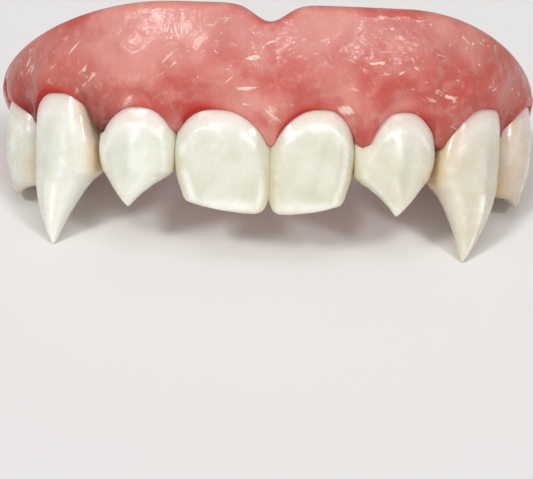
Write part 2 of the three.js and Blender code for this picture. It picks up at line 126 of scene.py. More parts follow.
# The arch line: half of a superellipse, with straight heels behind it, as points by distance along it.
# reach is how far to each side its direction is taken, and midlineShift where the middle incisors meet.
arch = {"halfWidth": 26.2, "depth": 24.0, "squareness": 2.6, "midlineShift": 0.4, "reach": 0.2}
archTurn = np.linspace(0, math.pi / 2, 4001)
archX = arch["halfWidth"] * np.sin(archTurn) ** (2 / arch["squareness"])
archY = arch["depth"] * (1 - np.cos(archTurn).clip(0) ** (2 / arch["squareness"]))
archAlong = np.concatenate([[0], np.cumsum(np.hypot(np.diff(archX), np.diff(archY)))])


def archPoint(along):  # the arch line at a distance along it, read off its points, negative to the left
    distance = np.abs(along)
    x = np.sign(along) * np.interp(distance, archAlong, archX)
    y = np.interp(distance, archAlong, archY) + np.maximum(distance - archAlong[-1], 0)
    return np.stack([x, y], axis=-1)


def archTangent(along):  # its direction, from the points a little behind and ahead
    ahead = archPoint(along + arch["reach"]) - archPoint(along - arch["reach"])
    return ahead / np.linalg.norm(ahead, axis=-1, keepdims=True)


def besideArch(along, outward):  # the arch point plus outward times the normal that points out of the mouth
    tangent = archTangent(along)
    normal = np.stack([tangent[..., 1], -tangent[..., 0]], axis=-1)
    return archPoint(along) + normal * np.asarray(outward)[..., None]


# Crown sections: at runs from -1, the end of the root, through 0, the gum's edge, to 1, the tip. mesial
# and distal, towards and away from the middle, are shares of the half width, front and back of the
# thickness.
sections = {
    "central": {
        "at": (-1, 0, 0.18, 0.4, 0.62, 0.78, 0.89, 0.935, 0.97, 1),
        "mesial": (0.66, 0.9, 1.02, 1.1, 1.12, 1.1, 1.02, 0.97, 0.91, 0.82),
        "distal": (0.66, 0.9, 1.05, 1.12, 1.04, 0.91, 0.78, 0.48, 0.1, -0.42),
        "front": (-0.16, -0.05, 0.02, 0.05, 0.03, -0.01, -0.045, -0.06, -0.075, -0.1),
        "back": (0.84, 0.97, 1, 0.86, 0.6, 0.43, 0.33, 0.3, 0.27, 0.23),
    },
    "lateral": {
        "at": (-1, 0, 0.2, 0.42, 0.62, 0.68, 0.745, 0.833, 0.93, 1),
        "mesial": (0.64, 0.88, 1.02, 1.08, 1.02, 0.83, 0.54, 0.23, -0.04, -0.18),
        "distal": (0.7, 1, 1.2, 1.25, 1.1, 0.97, 0.83, 0.65, 0.41, 0.21),
        "front": (-0.18, -0.05, 0.02, 0.05, 0.04, 0.02, 0, -0.03, -0.07, -0.12),
        "back": (0.84, 0.96, 1, 0.86, 0.64, 0.56, 0.49, 0.4, 0.29, 0.17),
    },
    "fang": {
        "at": (-1, 0, 0.15, 0.33, 0.5, 0.565, 0.63, 0.7, 0.78, 0.87, 0.936, 1),
        "mesial": (0.66, 0.8, 0.92, 0.98, 0.86, 0.63, 0.47, 0.35, 0.23, 0.11, 0.05, 0),
        "distal": (0.86, 1.12, 1.15, 1.13, 1.05, 0.97, 0.88, 0.77, 0.61, 0.4, 0.23, 0.03),
        "front": (-0.11, 0.02, 0.06, 0.07, 0.06, 0.05, 0.04, 0.025, 0.005, -0.025, -0.05, -0.085),
        "back": (0.86, 0.96, 1, 0.88, 0.66, 0.56, 0.49, 0.42, 0.34, 0.26, 0.2, 0.12),
    },
    "premolar": {
        "at": (-1, 0, 0.2, 0.42, 0.62, 0.78, 0.86, 0.885, 0.905, 0.95, 1),
        "mesial": (0.64, 0.9, 1.02, 1.08, 1.06, 1.02, 0.96, 0.84, 0.6, 0.3, 0.02),
        "distal": (0.64, 0.9, 0.98, 1, 1, 0.94, 0.88, 0.78, 0.66, 0.4, 0.08),
        "front": (-0.1, 0.01, 0.05, 0.065, 0.045, 0.005, -0.02, -0.03, -0.035, -0.05, -0.07),
        "back": (0.84, 0.96, 1, 0.98, 0.94, 0.9, 0.84, 0.7, 0.24, 0.15, 0.1),
    },
}

# Each kind: its thickness front to back, how square its front is at the neck and at the tip, the heights
# of the ridge down its face, of the two soft lobes beside it and of the raised margin round it, how far
# its edges are rounded, the softness of the bend from its face to its contact planes, and how strongly a
# painted highlight lightens ridge and margin.
kinds = {
    "central": {
        "thickness": 6.4, "square": 3.0, "tipSquare": 2.5, "ridge": 0.0, "lobes": 0.11, "margin": 0.1,
        "rounding": 0.35, "softness": 0.45, "paintedRidgeHighlight": 0.0, "paintedMarginHighlight": 1.0,
    },
    "lateral": {
        "thickness": 6.2, "square": 2.8, "tipSquare": 2.2, "ridge": 0.1, "lobes": 0.08, "margin": 0.06,
        "rounding": 0.3, "softness": 0.6, "paintedRidgeHighlight": 0.3, "paintedMarginHighlight": 0.7,
    },
    "fang": {
        "thickness": 7.8, "square": 2.4, "tipSquare": 2.1, "ridge": 0.3, "lobes": 0.03, "margin": 0.0,
        "rounding": 0.25, "softness": 1.3, "paintedRidgeHighlight": 1.0, "paintedMarginHighlight": 0.4,
    },
    "premolar": {
        "thickness": 8.2, "square": 2.3, "tipSquare": 2.2, "ridge": 0.1, "lobes": 0.02, "margin": 0.0,
        "rounding": 0.3, "softness": 0.9, "paintedRidgeHighlight": 0.5, "paintedMarginHighlight": 0.3,
    },
}

# The teeth from the middle outwards. tip is the height of the tip over the biting plane, lean moves the
# tip away from the middle by a share of the half width, out sets the tooth off the arch line, and slant
# is how far its far contact moves outwards with each millimetre up.
teethBySide = {
    -1: (
        {"name": "central_incisor", "kind": "central", "width": 8.8,
         "tip": 0.0, "lean": 0.0, "out": 0.0, "slant": 0.0},
        {"name": "lateral_incisor", "kind": "lateral", "width": 7.4,
         "tip": 0.2, "lean": 0.05, "out": 0.0, "slant": 0.34},
        {"name": "fang", "kind": "fang", "width": 9.04,
         "tip": -3.65, "lean": 0.26, "out": 0.0, "slant": 0.0},
        {"name": "premolar", "kind": "premolar", "width": 7.48,
         "tip": 0.7, "lean": 0.0, "out": 0.0, "slant": 0.0},
    ),
    1: (
        {"name": "central_incisor", "kind": "central", "width": 7.8,
         "tip": 0.0, "lean": 0.0, "out": 0.0, "slant": 0.0},
        {"name": "lateral_incisor", "kind": "lateral", "width": 7.8,
         "tip": 0.1, "lean": -0.05, "out": 0.0, "slant": 0.34},
        {"name": "fang", "kind": "fang", "width": 9.44,
         "tip": -4.0, "lean": -0.14, "out": 0.0, "slant": 0.0},
        {"name": "premolar", "kind": "premolar", "width": 7.44,
         "tip": 1.0, "lean": 0.0, "out": 0.35, "slant": 0.0},
    ),
}

# The gum over each of those teeth. neck is its edge's height over the tooth and gum that of the gum point
# on the far side, which stands point past the contact. crown is where the arch's top stands, as a share
# of the half width from the tooth's middle, and reach the share of the way from there to the near and the
# far gum point that the arch takes. flush is how red the edge is on each side, and brown how dark the
# painted shade in the far gum point is.
gumBySide = {
    -1: (
        {"neck": 9.3, "crown": 0.16, "gum": 7.1, "point": 0.08,
         "reach": (0.96, 0.9), "flush": (0.1, 1.0), "brown": 0.25},
        {"neck": 9.3, "crown": 0.0, "gum": 6.7, "point": 0.0,
         "reach": (0.88, 0.88), "flush": (0.25, 0.2), "brown": 1.0},
        {"neck": 10.4, "crown": 0.06, "gum": 7.3, "point": 0.0,
         "reach": (0.84, 0.82), "flush": (0.6, 1.0), "brown": 0.9},
        {"neck": 9.6, "crown": 0.52, "gum": 9.5, "point": 0.0,
         "reach": (0.94, 0.94), "flush": (0.6, 0.3), "brown": 0.2},
    ),
    1: (
        {"neck": 9.6, "crown": 0.23, "gum": 6.2, "point": 0.72,
         "reach": (0.96, 0.88), "flush": (0.8, 0.1), "brown": 0.2},
        {"neck": 9.65, "crown": 0.2, "gum": 6.3, "point": 1.2,
         "reach": (0.84, 0.84), "flush": (0.1, 0.6), "brown": 0.4},
        {"neck": 10.3, "crown": 0.33, "gum": 7.55, "point": 0.28,
         "reach": (0.97, 0.86), "flush": (0.15, 0.35), "brown": 0.4},
        {"neck": 10.7, "crown": 0.16, "gum": 10.4, "point": 0.0,
         "reach": (0.98, 0.98), "flush": (0.4, 0.2), "brown": 0.2},
    ),
}

# How the teeth sit: the top of the roots, how far inside the arch line the contacts are taken and at what
# height they slant from, where the widest place lies between front and back, the gum point between the
# middle incisors and the painted shade in it, and how far each tooth reaches past its contact planes.
toothFit = {
    "rootTop": 11.0, "contactInset": 2.2, "contactHeight": 3.2, "sideShare": 0.4, "middleGum": 6.0,
    "middleBrown": 0.1, "overlap": 0.4,
}


# Each tooth's row with its place: it spans a chord between its two contacts, set inside the arch line,
# and its face stands where the arch line passes the chord's middle. Gives them from the left to the
# right.
def placedTeeth():
    placed = []
    for side in (-1, 1):
        near, nearSlant = arch["midlineShift"], 0.0
        nearGum = (near, toothFit["middleGum"], toothFit["middleBrown"])
        for tooth, over in zip(teethBySide[side], gumBySide[side]):
            far = near + side * tooth["width"]
            ends = besideArch(np.array([near, far]), np.array([-toothFit["contactInset"]] * 2))
            towardsFar = (ends[1] - ends[0]) / np.linalg.norm(ends[1] - ends[0])
            facing = np.array([towardsFar[1], -towardsFar[0]]) * side
            centre = ends.mean(axis=0)
            middle = besideArch(np.array((near + far) / 2), tooth["out"])
            farGum = (far + side * over["point"], over["gum"], over["brown"])
            name = f"{tooth['name']}_{'left' if side < 0 else 'right'}"
            placed.append({
                **tooth, **over, "name": name, "side": side,
                "near": near, "far": far, "nearSlant": nearSlant, "nearGum": nearGum, "farGum": farGum,
                "archTop": (near + far) / 2 + side * over["crown"] * tooth["width"] / 2,
                "centre": centre, "towardsFar": towardsFar, "facing": facing,
                "halfWidth": np.linalg.norm(ends[1] - ends[0]) / 2,
                "archFace": float((middle - centre) @ facing),
            })
            near, nearSlant, nearGum = far, tooth["slant"], farGum
    return sorted(placed, key=lambda tooth: tooth["near"] + tooth["far"])


teeth = placedTeeth()
rowStart, rowEnd = teeth[0]["far"], teeth[-1]["far"]


# A tooth's outline at any height: how far it reaches to each side, forwards and back, and how square it
# is.
def toothOutline(tooth, at):
    table, kind = sections[tooth["kind"]], kinds[tooth["kind"]]
    sides = ("mesial", "distal", "front", "back")
    column = {side: smoothThrough(table["at"], table[side], at) for side in sides}
    leaning = tooth["lean"] * np.maximum(0, at * 2 - 1)
    distal = tooth["halfWidth"] * (column["distal"] + leaning)
    mesial = tooth["halfWidth"] * (column["mesial"] - leaning)
    front = tooth["archFace"] + column["front"] * kind["thickness"]
    back = tooth["archFace"] - column["back"] * kind["thickness"]
    square = mix(kind["square"], kind["tipSquare"], smoothStep(at, 0, 0.6))
    return distal, mesial, front, back, square


# The margin of a tooth's face, from 0 to 1: the greatest of bells along both its sides, below the gum's
# edge and over the tip. below is how many millimetres a place lies under the gum's edge.
def faceMargin(across, at, below):
    ends = np.maximum(bell(below, 1.5, 0.45), 0.6 * bell(at, 0.93, 0.05)) * (1 - np.abs(across) ** 6)
    return np.maximum(ends, bell(np.abs(across), 0.79, 0.09) * smoothStep(below, 0.8, 2.0))


# Swellings of a tooth's face: a bell-shaped ridge down its middle and a cosine wave of lobes across it,
# which both fade at the neck and at the tip, and the margin.
def faceRelief(kind, across, at, margin):
    ridge = kind["ridge"] * bell(across, 0, 0.35) * smoothStep(at, 0.05, 0.4)
    lobes = kind["lobes"] * np.cos(across * math.pi * 3.2) * smoothStep(at, 0.1, 0.5)
    return (ridge + lobes) * (1 - 0.9 * smoothStep(at, 0.6, 0.95)) + kind["margin"] * margin


toothMesh = {"rows": 120, "columns": 128, "rootShare": 0.12}  # rootShare of the rows go to the root


# One tooth over a grid: v runs from the root to the tip and u goes round. Each outline is a superellipse
# in front and an ellipse behind, drawn in near the tip by a quarter round, and pushed back between its
# contact planes by half of (b + the root of (b squared + softness squared)), b being how far it stands
# beyond one.
def toothGrid(tooth):
    kind, rootShare, columns = kinds[tooth["kind"]], toothMesh["rootShare"], toothMesh["columns"]
    v = np.linspace(0, 1, toothMesh["rows"])
    inCrown = (v - rootShare) / (1 - rootShare)
    at = np.where(v < rootShare, v / rootShare - 1, np.sin(inCrown.clip(0) * math.pi / 2) ** 0.9)[:, None]
    u = (np.arange(columns) / columns * 2 * math.pi * tooth["side"])[None, :]
    distal, mesial, front, back, square = toothOutline(tooth, at)
    height = mix(tooth["neck"], np.where(at < 0, toothFit["rootTop"], tooth["tip"]), np.abs(at))
    rise = np.clip((height - tooth["tip"]) / kind["rounding"], 0, 1)
    inset = kind["rounding"] * (1 - np.sqrt(1 - (1 - rise) ** 2))
    power = np.where(np.sin(u) > 0, 2 / square, 1.0)
    across = signedPower(np.cos(u), power)
    deep = signedPower(np.sin(u), power)
    halfAcross = np.maximum((distal + mesial) / 2 - inset, 0.02)
    widest = mix(front, back, toothFit["sideShare"])
    ahead = np.maximum(front - widest - inset, 0.02)
    behind = np.maximum(widest - back - inset, 0.02)
    alongFar = (distal - mesial) / 2 + across * halfAcross
    stretch = tooth["side"] * tooth["width"] / tooth["halfWidth"]
    along = (tooth["near"] + tooth["far"] + stretch * alongFar) / 2
    below = gumEdge(along)[0] - height
    margin = faceMargin(across, at, below)
    relief = faceRelief(kind, across, at, margin) * np.clip(deep, 0, 1) * rise
    out = widest + deep * np.where(deep > 0, ahead, behind) + relief
    flat = tooth["centre"] + alongFar[..., None] * tooth["towardsFar"]
    flat = flat + out[..., None] * tooth["facing"]
    above = height - toothFit["contactHeight"]
    contact = np.zeros(out.shape)
    for end, facing, lift in ((tooth["near"], -tooth["side"], -tooth["nearSlant"]),
                              (tooth["far"], tooth["side"], tooth["slant"])):
        normal = archTangent(np.array(end)) * facing
        beyond = (flat - archPoint(np.array(end))) @ normal - lift * above - toothFit["overlap"]
        pushed = (beyond + np.sqrt(beyond**2 + kind["softness"] ** 2)) / 2
        flat = flat - pushed[..., None] * normal
        contact = np.maximum(contact, np.exp(np.minimum(beyond, 0) / 1.3))
    points = np.concatenate([flat, np.broadcast_to(height, out.shape)[..., None]], axis=-1)
    low = smoothStep(-height, -7.0, -2.5)
    # painted highlight: a pale streak down the ridge and a pale band round the margin of the face, front
    # only
    ridge = bell(across, 0.15 * tooth["side"] - 0.2, 0.11) * smoothStep(at, 0.15, 0.5)
    pale = np.maximum(kind["paintedRidgeHighlight"] * ridge, kind["paintedMarginHighlight"] * margin) * (deep > 0)
    neck = np.exp(-np.maximum(below, 0) / 0.35) * np.clip(deep, 0, 1) ** 2
    shades = {
        "contact": contact * mix(0.4, 1, low),
        "drop": np.broadcast_to(at, out.shape),
        "pale": pale,
        "neck": neck * (1 - 0.7 * contact),
    }
    return points, shades


# How far a tooth's face stands outside the arch line, at places along the arch and heights. The bends to
# its contact planes count as in toothGrid: a place d inside one shows the face from softness^2 / 4d
# farther on.
def toothFace(along, height):
    face = np.full(np.broadcast(along, height).shape, -6.0)
    for tooth in teeth:
        above = tooth["side"] * (height - toothFit["contactHeight"])
        near, far = tooth["near"] + tooth["nearSlant"] * above, tooth["far"] + tooth["slant"] * above
        here = (along - near) * (along - far) <= 0
        at = np.where(
            height < tooth["neck"],
            (tooth["neck"] - height) / (tooth["neck"] - tooth["tip"]),
            -(height - tooth["neck"]) / (toothFit["rootTop"] - tooth["neck"]),
        ).clip(-1, 1)
        distal, mesial, front, back, square = toothOutline(tooth, at)
        place = archPoint(along) - tooth["centre"]
        bend = kinds[tooth["kind"]]["softness"] ** 2 / 4
        inNear = np.maximum((along - near) * tooth["side"] + toothFit["overlap"], 0.1)
        inFar = np.maximum((far - along) * tooth["side"] + toothFit["overlap"], 0.1)
        aside = place @ tooth["towardsFar"] + bend / inFar - bend / inNear
        across = np.clip((aside - (distal - mesial) / 2) / ((distal + mesial) / 2), -1, 1)
        widest = mix(front, back, toothFit["sideShare"])
        out = widest + (1 - np.abs(across) ** square) ** (1 / square) * (front - widest)
        face = np.where(here, out - place @ tooth["facing"], face)
    return face


# The gum base, in millimetres, apart from palateShare, heelRise and sharpness, which are plain numbers, and
# blur, which counts steps along the grid. Pairs go from the front to the sides or from where something
# starts to where it ends.
gum = {
    "top": 19.2, "fall": 7.5, "leftFall": 9.0, "rightFall": 13.0, "fallEnd": 42.0,
    "notchDepth": 1.6, "notchHalf": 2.0, "wall": 2.0, "palateWall": 1.8, "trough": 7.2, "floor": 12.0,
    "palateShare": 0.45, "corner": 0.9, "heelFloor": 9.0, "heelStep": (0.6, 3.6), "underside": 5.0,
    "heelLength": 9.0, "rounding": 3.4, "endWall": 2.2, "settle": 1.2, "palateMargin": 5.4,
    "heelRise": 0.1, "palateScallop": 0.9, "cover": 0.9, "bulge": (0.7, 0.3), "lead": (0.5, 0.1),
    "leadChange": (14.0, 30.0), "swell": 0.3, "lip": 0.45, "papillaInset": 1.0, "heelInset": 2.2,
    "sharpness": 2.3, "lipReach": 0.8, "lipRise": 0.34, "tuck": 0.4, "papillaDepth": -1.0,
    "closed": 0.1, "blur": 9, "pointHang": 0.6,
}
# Ripples of the face from one hand finishing it, as pairs of length and height.
ripples = ((3.4, 0.05), (1.7, 0.035), (0.8, 0.016))
# How many points its grid has along the arch, at each end, and round each part of its section.
gumMesh = {
    "along": 560, "end": 31, "face": 66, "rim": 20, "wall": 8, "corner": 7, "innerRim": 14, "palate": 18,
    "under": 14,
}


# The gum's edge at places along the arch: its height, how near it is to the top of a tooth's arch, how red
# it is there and how dark its painted shade is. Over each tooth it is an arch of 1 - fall^sharpness between
# two gum points, which hang by pointHang, and behind the row it settles to the underside.
def gumEdge(along):
    height, over, flush, brown = (np.zeros_like(along) for _ in range(4))
    for tooth in teeth:
        here = (along - tooth["nearGum"][0]) * (along - tooth["farGum"][0]) <= 0
        farther = (along - tooth["archTop"]) * tooth["side"]
        halves = ((tooth["nearGum"], farther <= 0, 0), (tooth["farGum"], farther > 0, 1))
        for point, half, end in halves:
            fall = np.abs((along - tooth["archTop"]) / (point[0] - tooth["archTop"]))
            rise = np.maximum(0, 1 - (fall / tooth["reach"][end]) ** gum["sharpness"])
            foot = point[1] + gum["pointHang"] * (1 - fall**4)
            height = np.where(here & half, mix(foot, tooth["neck"], rise), height)
            over = np.where(here & half, rise, over)
            brown = np.where(here & half, point[2] * fall**2, brown)
        middle = smoothStep(farther, -0.3 * tooth["width"], 0.3 * tooth["width"])
        flush = np.where(here, mix(*tooth["flush"], middle), flush)
    for last, behind in ((teeth[0], rowStart - along), (teeth[-1], along - rowEnd)):
        settled = smoothStep(behind, 0, gum["settle"])
        height = np.where(behind > 0, mix(last["farGum"][1], gum["underside"], settled), height)
        over = np.where(behind > 0, 0, over)
    return height, over, flush, brown


def halfRound(middle, half, base, rise, count):  # half an ellipse, from the outer side to the inner
    turn = np.linspace(0, math.pi, count)[None, 1:]
    return middle + half * np.cos(turn), base + rise * np.sin(turn)


# The gum base over a grid: one row of points round its section at each place along the arch. Round the
# section come the face from the gum's edge up, the rim, the trough, the inner wall and the underside.
def gumGrid():
    leftEnd, rightEnd = rowStart - gum["heelLength"], rowEnd + gum["heelLength"]
    straight = np.linspace(leftEnd + gum["rounding"], rightEnd - gum["rounding"], gumMesh["along"])
    roundedOff = gum["rounding"] * np.sin(np.linspace(0, 0.995, gumMesh["end"])[1:] * math.pi / 2)
    along = np.concatenate([straight[0] - roundedOff[::-1], straight, straight[-1] + roundedOff])[:, None]
    distance = np.abs(along)
    limit = np.where(along < 0, -leftEnd, rightEnd)
    behindRow = distance - (limit - gum["heelLength"])
    edgeHeight, over, flush, brown = gumEdge(along)
    behind = smoothStep(behindRow, 0, gum["settle"])
    notch = gum["notchDepth"] * bell(along, 0, gum["notchHalf"])
    fallStart = np.where(along < 0, gum["leftFall"], gum["rightFall"])
    top = gum["top"] - notch - gum["fall"] * smoothStep(distance, fallStart, gum["fallEnd"])
    sideways = smoothStep(distance, *gum["leadChange"])
    lead, bulge = mix(*gum["lead"], sideways), mix(*gum["bulge"], sideways)
    closing = smoothStep(distance, limit - gum["rounding"] - gum["endWall"], limit - gum["endWall"])
    openFloor = mix(gum["floor"], gum["heelFloor"], smoothStep(behindRow, *gum["heelStep"]))
    crest = top - gum["wall"] / 2
    floor = mix(openFloor, crest - gum["closed"], closing)
    innerTop = floor + (top - floor) * gum["palateShare"]
    innerCrest = innerTop - np.minimum(gum["palateWall"], innerTop - floor) / 2
    troughFront = lead - gum["wall"]
    troughBack = troughFront - gum["trough"]
    innerFace = troughBack - gum["palateWall"]
    backwards = smoothStep(distance, teeth[0]["width"], min(-rowStart, rowEnd))
    rowThick = mix(kinds["central"]["thickness"], kinds["premolar"]["thickness"], backwards)
    marginOut = -(rowThick + gum["cover"])
    lowest = mix(gum["palateMargin"] + gum["palateScallop"] * over, gum["underside"], behind)

    share = np.linspace(0, 1, gumMesh["face"])[None, :] ** 1.35
    up = mix(edgeHeight, crest, share)
    above = up - edgeHeight
    face = toothFace(along, edgeHeight)
    edgeOut = mix(np.maximum(face + gum["lip"], -gum["papillaInset"]), -gum["heelInset"], behind)
    floorOut = np.where(behindRow > 0, -gum["heelInset"], gum["papillaDepth"])
    base = (face + floorOut + np.sqrt((face - floorOut) ** 2 + 0.1)) / 2
    base = mix(base, edgeOut, smoothStep(behindRow, -0.4, gum["settle"]))
    lip = (base + gum["lipRise"] * np.sqrt(1 - (1 - np.clip(above / gum["lipReach"], 0, 1)) ** 2)
           - gum["tuck"] * (1 - np.clip(above / 0.25, 0, 1)))
    wave = gum["swell"] * (2 * over - 1) * (behindRow <= 0)
    swelling = smoothStep(share, mix(0, gum["heelRise"], behind), mix(0.7, 1, behind))
    softEdge = blurred(edgeOut[:, 0], gum["blur"])[:, None]
    outer = (mix(softEdge, lead, swelling) + bulge * np.sin(math.pi * share)
             + wave * np.sin(math.pi * share) * (1 - share))
    out = mix(lip, outer, smoothStep(above, 0.2, 2.6))
    place = np.concatenate([besideArch(along + 0 * out, out), up[..., None]], axis=-1)
    ripple = sum(high * waves(place, length, 3 + 2 * i) for i, (length, high) in enumerate(ripples))
    out = out + ripple * smoothStep(above, 0.1, 1.2) * (1 - 0.6 * share)

    wallTop = np.broadcast_to(troughFront, along.shape)
    corner = np.minimum(gum["corner"], (crest - floor) / 2)
    quarter = np.linspace(0, math.pi / 2, gumMesh["corner"])[None, 1:]
    down = np.linspace(0, 1, gumMesh["wall"])[None, 1:]
    backTop = np.minimum(floor + corner, innerCrest)
    fallIn = np.linspace(0, 1, gumMesh["palate"])[None, 1:]
    under = np.linspace(0, 1, gumMesh["under"])[None, 1:-1]
    strips = [
        (out, up),
        halfRound(lead - gum["wall"] / 2, gum["wall"] / 2, crest, top - crest, gumMesh["rim"]),
        (wallTop + 0 * down, mix(crest, floor + corner, down)),
        (troughFront - corner * (1 - np.cos(quarter)), floor + corner * (1 - np.sin(quarter))),
        (mix(troughFront - corner, troughBack + corner, down), floor + 0 * down),
        (troughBack + corner * (1 - np.sin(quarter)), mix(floor, backTop, 1 - np.cos(quarter))),
        (troughBack + 0 * down, mix(backTop, innerCrest + 0.001, down)),
        halfRound(troughBack - gum["palateWall"] / 2, gum["palateWall"] / 2, innerCrest,
                  innerTop - innerCrest, gumMesh["innerRim"]),
        (mix(innerFace, marginOut, smoothStep(fallIn, 0.3, 1.0)), mix(innerCrest, lowest, fallIn)),
        (mix(marginOut, out[:, :1], under), mix(lowest, edgeHeight, under**1.3)),
    ]
    strips = [np.broadcast_arrays(o + 0 * along, h + 0 * along) for o, h in strips]
    outAll = np.concatenate([o for o, h in strips], 1)
    upAll = np.concatenate([h for o, h in strips], 1)

    roundness = np.clip((distance - (limit - gum["rounding"])) / gum["rounding"], 0, 1)
    shrink = np.sqrt(1 - roundness**2)
    outAll = mix((lead + innerFace) / 2, outAll, shrink)
    upAll = mix((gum["underside"] + top) / 2, upAll, shrink)
    points = np.concatenate([besideArch(along + 0 * outAll, outAll), upAll[..., None]], axis=-1)

    faceCount = out.shape[1]
    blank = np.zeros((along.shape[0], outAll.shape[1] - faceCount))
    rim = np.minimum(1.7 * flush * np.exp(-above), 1) * smoothStep(over, 0.02, 0.3)
    # painted shade: the gum points darkened towards brown, fading up from the edge
    papillaShade = np.minimum(1.4 * brown * np.exp(-above / 2.0), 1) * (behindRow <= 0)
    shades = {
        "rim": np.concatenate([rim, blank], 1),
        "papillaShade": np.concatenate([papillaShade, blank], 1),
        "sideways": np.broadcast_to(smoothStep(distance, 13, 33), outAll.shape),
        # painted sheen: the top of the middle of the face made lighter and greyer
        "paintedTopSheen": np.concatenate([smoothStep(up, 11, 17) * (1 - smoothStep(distance, 12, 26)), blank], 1),
        "inside": np.concatenate([0 * rim, blank + 1], 1),
    }
    return points, shades


# Turns a grid of points into a closed mesh: rows joined into quads, with a fan over each end. The faces
# are turned outwards by the sign of the volume that they enclose.
def solidFrom(name, points, shades, material):
    rows, columns = points.shape[:2]
    flat = toRow(points).reshape(-1, 3)
    ends = np.stack([flat[:columns].mean(axis=0), flat[-columns:].mean(axis=0)])
    vertices = np.concatenate([flat, ends])
    r, c = np.meshgrid(np.arange(rows - 1), np.arange(columns), indexing="ij")
    after = (c + 1) % columns
    here, below = r * columns, (r + 1) * columns
    quads = np.stack([here + c, here + after, below + after, below + c], -1).reshape(-1, 4)
    ring = np.arange(columns)
    following = (ring + 1) % columns
    last = (rows - 1) * columns
    fans = np.concatenate([
        np.stack([np.full(columns, rows * columns), following, ring], -1),
        np.stack([np.full(columns, rows * columns + 1), last + ring, last + following], -1),
    ])
    corner = vertices[quads]
    first, second, third = (corner[:, i] - vertices[0] for i in range(3))
    volume = (first * np.cross(second, third)).sum()
    if volume < 0:
        quads, fans = quads[:, ::-1], fans[:, ::-1]
    mesh = bpy.data.meshes.new(name)
    mesh.from_pydata(vertices, [], quads.tolist() + fans.tolist())
    mesh.polygons.foreach_set("use_smooth", np.ones(len(mesh.polygons), bool))
    for key, values in shades.items():
        layer = mesh.attributes.new(key, "FLOAT", "POINT")
        full = np.concatenate([values.reshape(-1), [values[0].mean(), values[-1].mean()]])
        layer.data.foreach_set("value", full.astype(np.float32))
    mesh.materials.append(material)
    mesh.validate()
    piece = bpy.data.objects.new(name, mesh)
    bpy.context.collection.objects.link(piece)
    return piece


def colour(code):  # an sRGB hex code as linear light
    channels = np.array([int(code[i : i + 2], 16) for i in (1, 3, 5)]) / 255
    linear = np.where(channels <= 0.04045, channels / 12.92, ((channels + 0.055) / 1.055) ** 2.4)
    return (*linear.tolist(), 1.0)


# Adds a node. settings are its own properties, and each input is a value or another node's output.
def addNode(tree, kind, inputs=None, **settings):
    node = tree.nodes.new(kind)
    for name, value in settings.items():
        setattr(node, name, value)
    for name, value in (inputs or {}).items():
        if isinstance(value, bpy.types.NodeSocket):
            tree.links.new(value, node.inputs[name])
        else:
            node.inputs[name].default_value = value
    return node


def newMaterial(name):
    material = bpy.data.materials.new(name)
    material.use_nodes = True
    tree = material.node_tree
    tree.nodes.clear()
    return material, tree


def finishMaterial(tree, shader):
    addNode(tree, "ShaderNodeOutputMaterial", {"Surface": shader.outputs["BSDF"]})


def blend(tree, factor, first, second):  # mixes two colours and gives the colour output
    node = addNode(tree, "ShaderNodeMix", {0: factor, 6: first, 7: second}, data_type="RGBA")
    return node.outputs[2]


def span(tree, value, low, high, toLow=0.0, toHigh=1.0):  # a smooth step from toLow to toHigh
    inputs = {"Value": value, "From Min": low, "From Max": high, "To Min": toLow, "To Max": toHigh}
    return addNode(tree, "ShaderNodeMapRange", inputs, interpolation_type="SMOOTHSTEP").outputs["Result"]


def times(tree, first, second):  # the product of two values
    return addNode(tree, "ShaderNodeMath", {0: first, 1: second}, operation="MULTIPLY").outputs[0]


def noise(tree, where, size, detail=3.0, roughness=0.5, distortion=0.0):  # size is the pattern's, in mm
    inputs = {"Vector": where, "Scale": 1 / (size * mm), "Detail": detail}
    inputs |= {"Roughness": roughness, "Distortion": distortion}
    return addNode(tree, "ShaderNodeTexNoise", inputs).outputs["Fac"]


def stretched(tree, where, turn, length):  # a pattern drawn out along z after a turn
    inputs = {"Vector": where, "Rotation": turn, "Scale": (1, 1, length)}
    return addNode(tree, "ShaderNodeMapping", inputs, vector_type="TEXTURE").outputs["Vector"]


def attribute(tree, name):  # one of the numbers that solidFrom leaves on the mesh
    return addNode(tree, "ShaderNodeAttribute", attribute_name=name).outputs["Fac"]


def bumped(tree, pattern, strength, high, under=None):  # a normal for a pattern high millimetres deep
    inputs = {"Strength": strength, "Distance": high * mm, "Height": pattern}
    inputs |= {"Normal": under} if under else {}
    return addNode(tree, "ShaderNodeBump", inputs).outputs["Normal"]


# Colours, and the patterns' sizes and heights in millimetres. Among the colours are a painted sheen for the
# top of the middle, a painted brown shade for the gum points and a painted cream glint for the raised
# streaks. A streak is streakSize thick and streakLength times as long, turned by one of three angles:
# rising on the left half, falling on the right, and nearly level.
gumFinish = {
    "deep": "#C55C51", "light": "#DA8B7F", "pale": "#E0A599", "red": "#BA3C32", "paintedTopSheen": "#D0938E",
    "sideways": "#A8382C", "paintedGlint": "#F5DFD0", "rim": "#B51B0D", "papillaShade": "#4A0F06",
    "broadSize": 7.0, "paleSize": 1.6, "redSize": 3.0, "swellSize": 1.3, "swellHigh": 0.24,
    "streakSize": 0.6, "streakLength": 5, "streakHigh": 0.08, "clusterSize": 3.5,
    "rising": 0.75, "falling": -1.0, "level": 1.4, "halves": (0.004, -0.006),
}


def streak(tree, where, turn, low, high):  # long thin spots where a noise drawn out along one way peaks
    drawn = stretched(tree, where, (0, turn, 0), gumFinish["streakLength"])
    return span(tree, noise(tree, drawn, gumFinish["streakSize"], 2.0, 0.5, 0.6), low, high)
